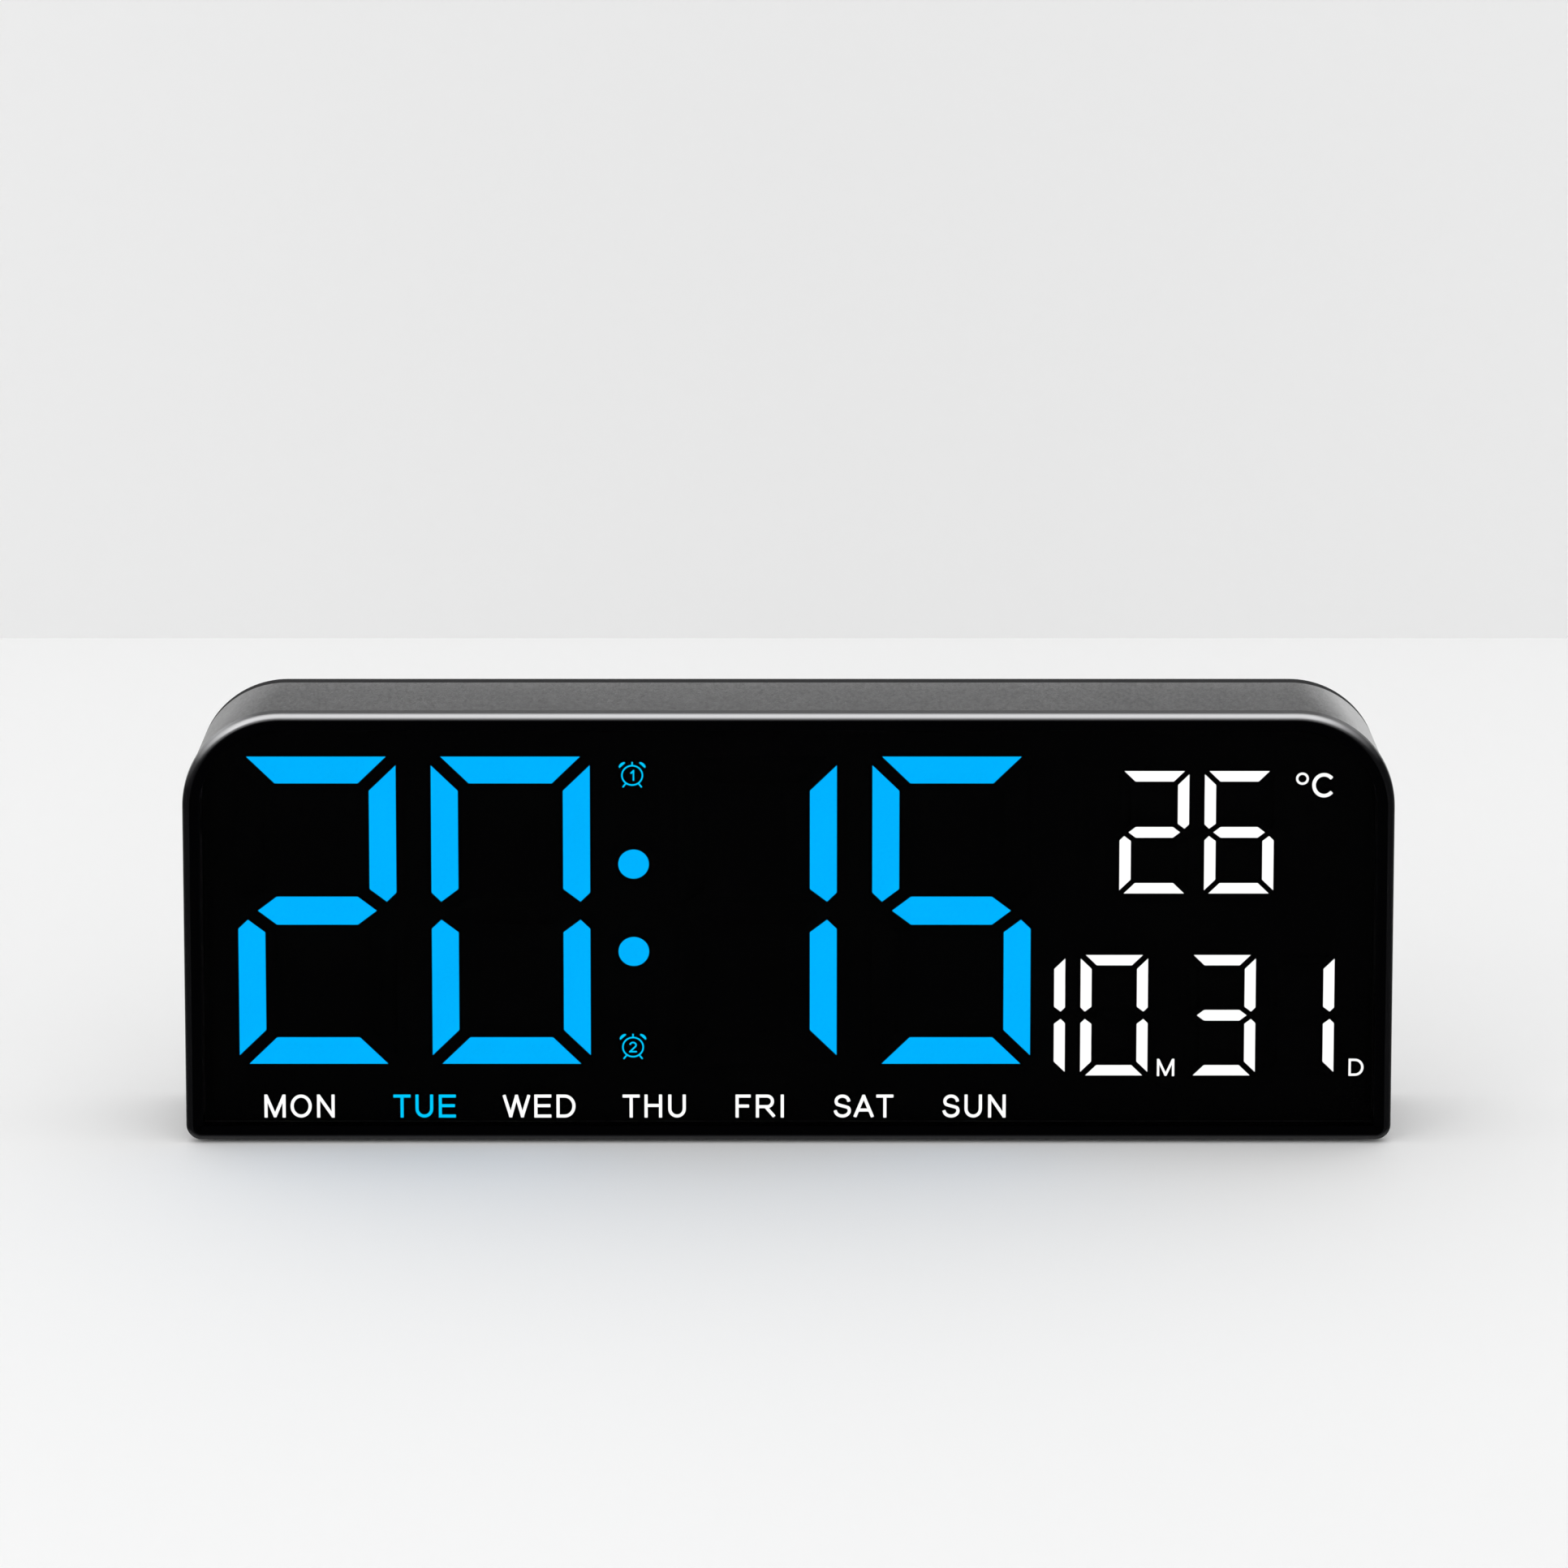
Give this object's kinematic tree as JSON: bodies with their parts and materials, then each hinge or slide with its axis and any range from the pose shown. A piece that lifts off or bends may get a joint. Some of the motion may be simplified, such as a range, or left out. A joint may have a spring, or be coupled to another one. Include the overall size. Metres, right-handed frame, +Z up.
{
  "type": "digital wall clock",
  "caption": "Slim digital clock: smoked one-piece front over segment digits for time, date and temperature, drafted case, rear buttons, battery bay, keyholes and a fold-out foot.",
  "frame": {"origin": "on the surface that the clock stands on, midway across its width and midway between its front and back", "axes": "+X to the right as seen from the front, +Y from the front to the back, +Z up"},
  "size_m": [0.225, 0.028, 0.0845],
  "materials": {
    "smoked_lens": "polished smoked acrylic, gloss black when unlit",
    "black_tape": "black foam tape",
    "black_film": "matt black printed film",
    "case_plastic": "charcoal moulding with a fine spark texture",
    "smoke_diffuser": "smoked light-spreading moulding",
    "circuit_board": "green solder mask",
    "cell_can": "dark film wrap over a metal can",
    "plated_steel": "nickel plate",
    "moulded_black": "black moulding",
    "button_plastic": "satin charcoal",
    "ribbon_insulation": "grey flat cable",
    "red_insulation": "red wire insulation",
    "black_insulation": "black wire insulation",
    "steel": "dark zinc plate",
    "foot_rubber": "matt black rubber"
  },
  "bodies": {
    "clock": {"front_lens": "smoked_lens", "lens_tape": "black_tape", "legend_film": "black_film", "light_shield": "case_plastic", "hour_tens_diffuser": "smoke_diffuser", "hour_units_diffuser": "smoke_diffuser", "minute_tens_diffuser": "smoke_diffuser", "minute_units_diffuser": "smoke_diffuser", "colon_diffuser": "smoke_diffuser", "temperature_diffuser": "smoke_diffuser", "month_diffuser": "smoke_diffuser", "day_diffuser": "smoke_diffuser", "weekday_diffuser": "smoke_diffuser", "display_board": "circuit_board", "housing": "case_plastic", "back_cover": "case_plastic", "battery_cell_1": "cell_can", "battery_cell_2": "cell_can", "battery_cell_3": "cell_can", "contact_positive": "plated_steel", "contact_link_1": "plated_steel", "contact_link_2": "plated_steel", "contact_negative": "plated_steel", "control_board": "circuit_board", "microcontroller": "moulded_black", "usb_socket": "plated_steel", "sounder": "moulded_black", "coin_cell_holder": "moulded_black", "coin_cell": "plated_steel", "mode_switch": "moulded_black", "set_switch": "moulded_black", "up_switch": "moulded_black", "down_switch": "moulded_black", "temperature_sensor": "moulded_black", "ribbon_cable": "ribbon_insulation", "lead_red": "red_insulation", "lead_black": "black_insulation", "foot_pin": "steel", "cover_screw_1": "steel", "cover_screw_2": "steel", "cover_screw_3": "steel", "cover_screw_4": "steel", "cover_screw_5": "steel", "cover_screw_6": "steel", "board_screw_1": "steel", "board_screw_2": "steel", "rubber_foot_1": "foot_rubber", "rubber_foot_2": "foot_rubber", "rubber_foot_3": "foot_rubber", "rubber_foot_4": "foot_rubber"},
    "battery_door": {"battery_door": "case_plastic"},
    "foot": {"fold_out_foot": "case_plastic"},
    "mode_key": {"mode_button": "button_plastic", "mode_plunger": "moulded_black"},
    "set_key": {"set_button": "button_plastic", "set_plunger": "moulded_black"},
    "up_key": {"up_button": "button_plastic", "up_plunger": "moulded_black"},
    "down_key": {"down_button": "button_plastic", "down_plunger": "moulded_black"}
  },
  "joints": [
    {"name": "battery_door_hinge", "type": "hinge", "parent": "clock", "child": "battery_door", "pos_m": [-0.062, 0.014, 0.01525], "axis": [-1, 0, 0], "range_deg": [0, 75]},
    {"name": "foot_hinge", "type": "hinge", "parent": "clock", "child": "foot", "pos_m": [0, 0.0095, 0.0045], "axis": [-1, 0, 0], "range_deg": [0, 90]},
    {"name": "mode_press", "type": "slide", "parent": "clock", "child": "mode_key", "axis": [0, -1, 0], "range_m": [0, 0.0005], "stiffness_N_per_m": 300},
    {"name": "set_press", "type": "slide", "parent": "clock", "child": "set_key", "axis": [0, -1, 0], "range_m": [0, 0.0005], "stiffness_N_per_m": 300},
    {"name": "up_press", "type": "slide", "parent": "clock", "child": "up_key", "axis": [0, -1, 0], "range_m": [0, 0.0005], "stiffness_N_per_m": 300},
    {"name": "down_press", "type": "slide", "parent": "clock", "child": "down_key", "axis": [0, -1, 0], "range_m": [0, 0.0005], "stiffness_N_per_m": 300}
  ]
}
